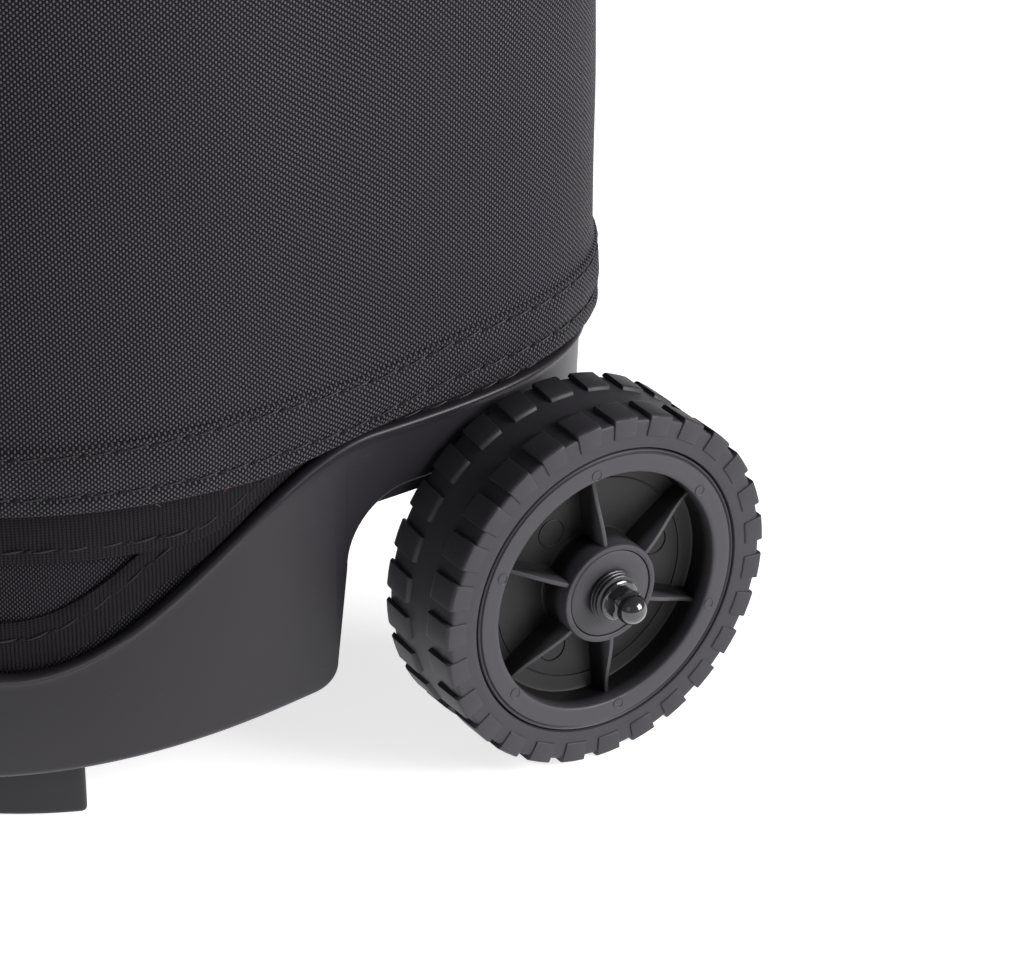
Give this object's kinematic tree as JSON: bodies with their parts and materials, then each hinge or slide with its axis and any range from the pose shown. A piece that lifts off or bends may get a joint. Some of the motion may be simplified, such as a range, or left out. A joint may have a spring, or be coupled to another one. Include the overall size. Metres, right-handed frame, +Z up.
{
  "type": "tennis ball machine",
  "caption": "Upright wheeled tennis ball machine: ball hopper under a padded lid, tilting two-wheel launcher behind a front window, soft cover on a moulded tub, pull-out handle.",
  "frame": {"origin": "on the ground under the middle of the bounding box", "axes": "+Z up, balls leave towards -Y, wheels and pull-out handle at +Y, controls on the -X side"},
  "size_m": [0.5002, 0.38, 0.864],
  "materials": {
    "black_plastic": "satin moulded black",
    "rubber": "matt",
    "tyre": "semi-matt moulded",
    "steel": "plain",
    "black_steel": "black satin",
    "gloss_black": "gloss black",
    "grey_plastic": "matt grey",
    "nylon_cover": "charcoal plain-weave nylon",
    "aluminium": "satin",
    "grip_rubber": "soft-touch",
    "red_plastic": "gloss",
    "circuit_board": "solder mask"
  },
  "bodies": {
    "base": {"base_tub": "black_plastic", "front_foot": "rubber", "axle": "steel", "axle_bracket_left": "black_plastic", "axle_bracket_right": "black_plastic", "washer_left": "black_steel", "washer_right": "black_steel", "cap_nut_left": "gloss_black", "cap_nut_right": "gloss_black", "side_frame_left": "steel", "side_frame_right": "steel", "hopper": "grey_plastic", "top_frame": "black_plastic", "handle_tray": "black_plastic", "bag_cover": "nylon_cover", "inner_liner": "nylon_cover", "lid_hinge_left": "black_steel", "lid_hinge_right": "black_steel", "handle_channel_left": "aluminium", "handle_channel_right": "aluminium", "pivot_bracket_left": "black_steel", "pivot_bracket_right": "black_steel", "front_bezel": "black_plastic", "feed_motor": "black_steel", "ball_chute": "black_plastic", "control_housing": "black_plastic", "control_board": "circuit_board", "battery": "grey_plastic"},
    "wheel_left": {"tyre_left": "tyre", "rim_left": "black_plastic", "hub_bush_left": "black_plastic"},
    "wheel_right": {"tyre_right": "tyre", "rim_right": "black_plastic", "hub_bush_right": "black_plastic"},
    "lid": {"lid": "nylon_cover", "lid_leaf_left": "black_steel", "lid_leaf_right": "black_steel"},
    "handle_middle": {"middle_tube_left": "aluminium", "middle_tube_right": "aluminium"},
    "handle_top": {"inner_tube_left": "aluminium", "inner_tube_right": "aluminium", "grip": "grip_rubber"},
    "handle_button": {"handle_button": "grip_rubber"},
    "launcher": {"launch_plate_left": "aluminium", "launch_plate_right": "aluminium", "launch_tube": "black_plastic", "ball_guide": "black_plastic", "launch_motor_lower": "black_steel", "launch_motor_upper": "black_steel", "elevation_sector": "steel"},
    "launch_wheel_upper": {"launch_wheel_upper": "rubber"},
    "launch_wheel_lower": {"launch_wheel_lower": "rubber"},
    "elevation_drive": {"elevation_pinion": "steel", "elevation_knob": "grip_rubber"},
    "feeder": {"feed_rotor": "grey_plastic", "feed_gear": "grey_plastic"},
    "feed_pinion": {"feed_pinion": "steel"},
    "speed_knob": {"speed_knob": "grip_rubber"},
    "interval_knob": {"interval_knob": "grip_rubber"},
    "power_switch": {"power_switch": "red_plastic"}
  },
  "joints": [
    {"name": "wheel_left_spin", "type": "hinge", "parent": "base", "child": "wheel_left", "pos_m": [-0.208, 0.115, 0.075], "axis": [1, 0, 0], "continuous": true},
    {"name": "wheel_right_spin", "type": "hinge", "parent": "base", "child": "wheel_right", "pos_m": [0.208, 0.115, 0.075], "axis": [1, 0, 0], "continuous": true},
    {"name": "lid_opening", "type": "hinge", "parent": "base", "child": "lid", "pos_m": [0, 0.151, 0.8475], "axis": [-1, 0, 0], "range_deg": [0, 72]},
    {"name": "handle_middle_slide", "type": "slide", "parent": "base", "child": "handle_middle", "axis": [0, 0, 1], "range_m": [0, 0.16]},
    {"name": "handle_top_slide", "type": "slide", "parent": "handle_middle", "child": "handle_top", "axis": [0, 0, 1], "range_m": [0, 0.16]},
    {"name": "handle_button_press", "type": "slide", "parent": "handle_top", "child": "handle_button", "axis": [0, 0, -1], "range_m": [0, 0.002], "stiffness_N_per_m": 300},
    {"name": "launcher_tilt", "type": "hinge", "parent": "base", "child": "launcher", "pos_m": [0, -0.055, 0.36], "axis": [-1, 0, 0], "range_deg": [-5, 30]},
    {"name": "launch_upper_spin", "type": "hinge", "parent": "launcher", "child": "launch_wheel_upper", "pos_m": [0, -0.055, 0.4325], "axis": [1, 0, 0], "continuous": true},
    {"name": "launch_lower_spin", "type": "hinge", "parent": "launcher", "child": "launch_wheel_lower", "pos_m": [0, -0.055, 0.2875], "axis": [1, 0, 0], "continuous": true},
    {"name": "elevation_turn", "type": "hinge", "parent": "base", "child": "elevation_drive", "pos_m": [-0.103, -0.055, 0.288], "axis": [-1, 0, 0], "range_deg": [-150, 25]},
    {"name": "feeder_turn", "type": "hinge", "parent": "base", "child": "feeder", "pos_m": [0, 0, 0.5485], "axis": [0, 0, 1], "continuous": true},
    {"name": "feed_pinion_turn", "type": "hinge", "parent": "base", "child": "feed_pinion", "pos_m": [0.06, 0, 0.536], "axis": [0, 0, 1], "continuous": true},
    {"name": "speed_turn", "type": "hinge", "parent": "base", "child": "speed_knob", "pos_m": [-0.1925, -0.012, 0.315], "axis": [-1, 0, 0], "range_deg": [0, 270]},
    {"name": "interval_turn", "type": "hinge", "parent": "base", "child": "interval_knob", "pos_m": [-0.1925, 0.024, 0.315], "axis": [-1, 0, 0], "range_deg": [0, 270]},
    {"name": "power_rock", "type": "hinge", "parent": "base", "child": "power_switch", "pos_m": [-0.1925, 0.008, 0.262], "axis": [0, 0, 1], "range_deg": [-8, 8]}
  ],
  "couplings": [
    {"joint": "elevation_turn", "follows": "launcher_tilt", "ratio": -5},
    {"joint": "feed_pinion_turn", "follows": "feeder_turn", "ratio": -4}
  ]
}
